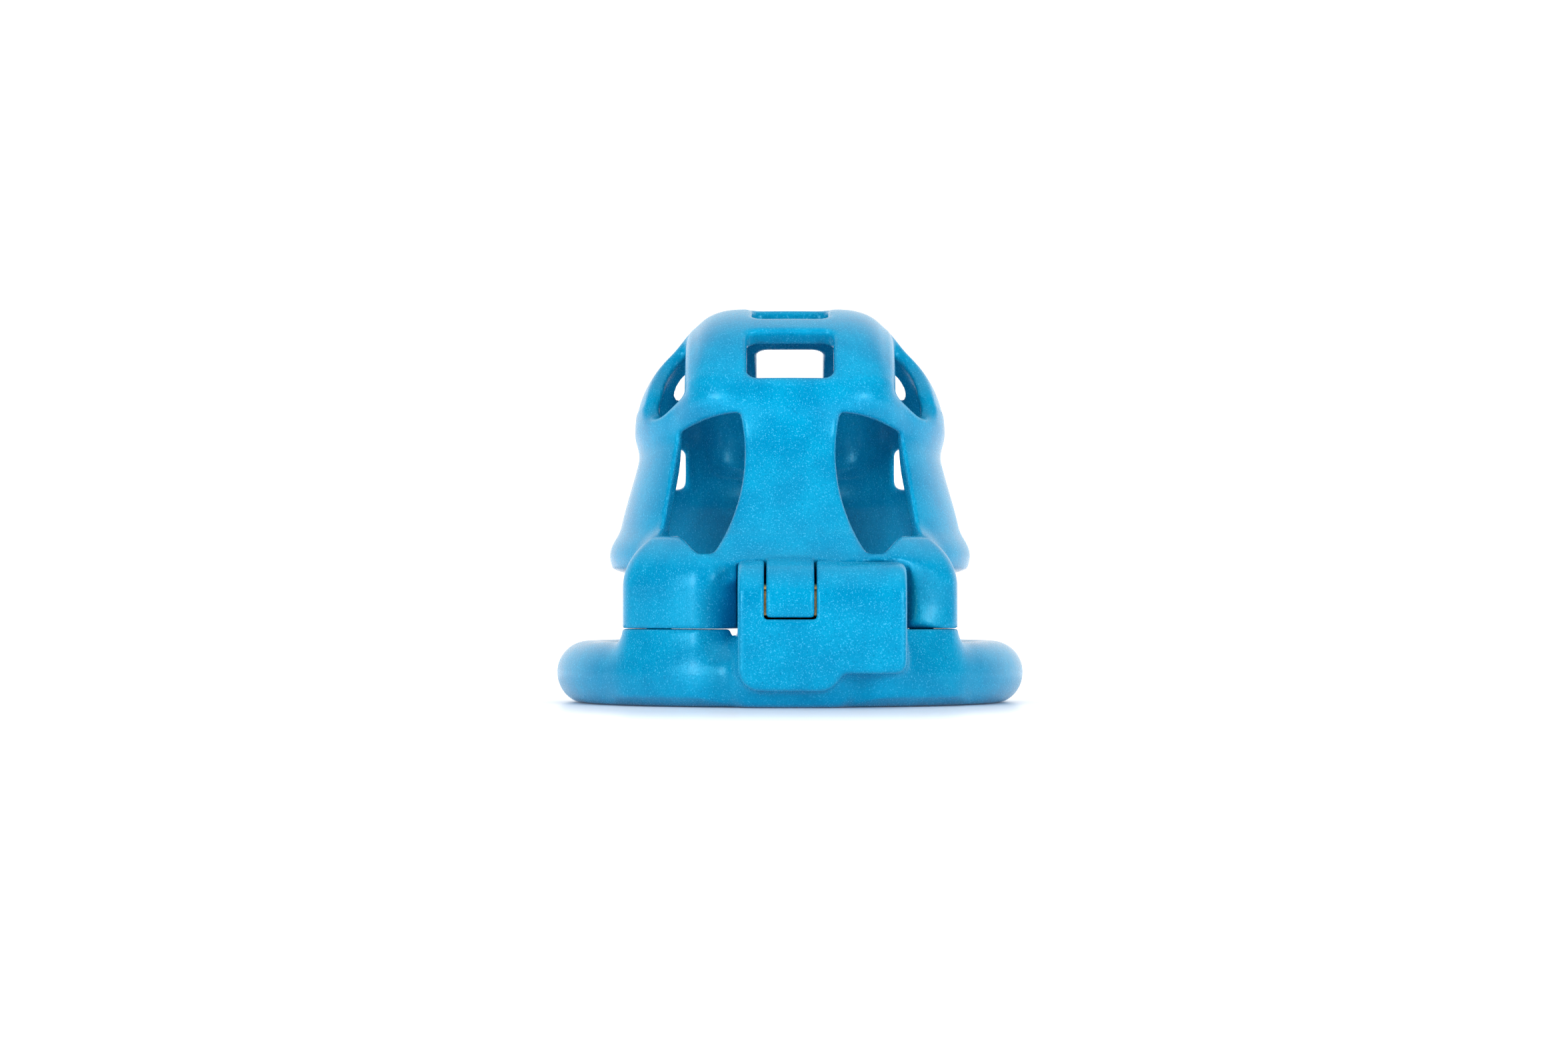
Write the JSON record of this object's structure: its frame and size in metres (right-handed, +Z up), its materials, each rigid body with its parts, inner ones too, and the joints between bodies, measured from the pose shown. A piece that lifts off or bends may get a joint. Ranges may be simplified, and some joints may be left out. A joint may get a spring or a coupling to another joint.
{
  "type": "lockable chastity cage",
  "caption": "Windowed domed nylon cage that hooks into a round base ring and is held by a small barrel lock in the ring's front housing.",
  "frame": {"origin": "on the floor, under the middle of the part's box, the ring standing flat", "axes": "+Z up through the ring and the cage; -Y towards the lock housing; +X towards the key end of the lock"},
  "size_m": [0.0622, 0.065, 0.0531],
  "materials": {
    "dyed_nylon": "sintered nylon, dyed blue and vapour smoothed: glossy with a fine grain",
    "brass": "turned, lightly tarnished",
    "steel": "bright drawn wire"
  },
  "bodies": {
    "base": {"base_ring": "dyed_nylon"},
    "cage": {"cage": "dyed_nylon"},
    "lock_cartridge": {"lock_sleeve": "brass", "stop_pin": "steel"},
    "lock_plug": {"lock_plug": "brass", "locking_spindle": "brass", "spindle_pin": "steel", "wafer_spring_1": "steel", "wafer_spring_2": "steel", "wafer_spring_3": "steel", "wafer_spring_4": "steel", "wafer_spring_5": "steel"},
    "wafer_1": {"wafer_1": "brass"},
    "wafer_2": {"wafer_2": "brass"},
    "wafer_3": {"wafer_3": "brass"},
    "wafer_4": {"wafer_4": "brass"},
    "wafer_5": {"wafer_5": "brass"}
  },
  "joints": [
    {"name": "cage_lift", "type": "slide", "parent": "base", "child": "cage", "axis": [0, 0, 1], "range_m": [0, 0.045]},
    {"name": "cartridge_slide", "type": "slide", "parent": "base", "child": "lock_cartridge", "axis": [1, 0, 0], "range_m": [0, 0.024]},
    {"name": "plug_turn", "type": "hinge", "parent": "lock_cartridge", "child": "lock_plug", "pos_m": [0.01, -0.02705, 0.0134], "axis": [1, 0, 0], "range_deg": [0, 90]},
    {"name": "wafer_1_slide", "type": "slide", "parent": "lock_plug", "child": "wafer_1", "axis": [0, 0, 1], "range_m": [0, 0.0006], "deforming": ["wafer_spring_1"]},
    {"name": "wafer_2_slide", "type": "slide", "parent": "lock_plug", "child": "wafer_2", "axis": [0, 0, 1], "range_m": [0, 0.0006], "deforming": ["wafer_spring_2"]},
    {"name": "wafer_3_slide", "type": "slide", "parent": "lock_plug", "child": "wafer_3", "axis": [0, 0, 1], "range_m": [0, 0.0006], "deforming": ["wafer_spring_3"]},
    {"name": "wafer_4_slide", "type": "slide", "parent": "lock_plug", "child": "wafer_4", "axis": [0, 0, 1], "range_m": [0, 0.0006], "deforming": ["wafer_spring_4"]},
    {"name": "wafer_5_slide", "type": "slide", "parent": "lock_plug", "child": "wafer_5", "axis": [0, 0, 1], "range_m": [0, 0.0006], "deforming": ["wafer_spring_5"]}
  ]
}
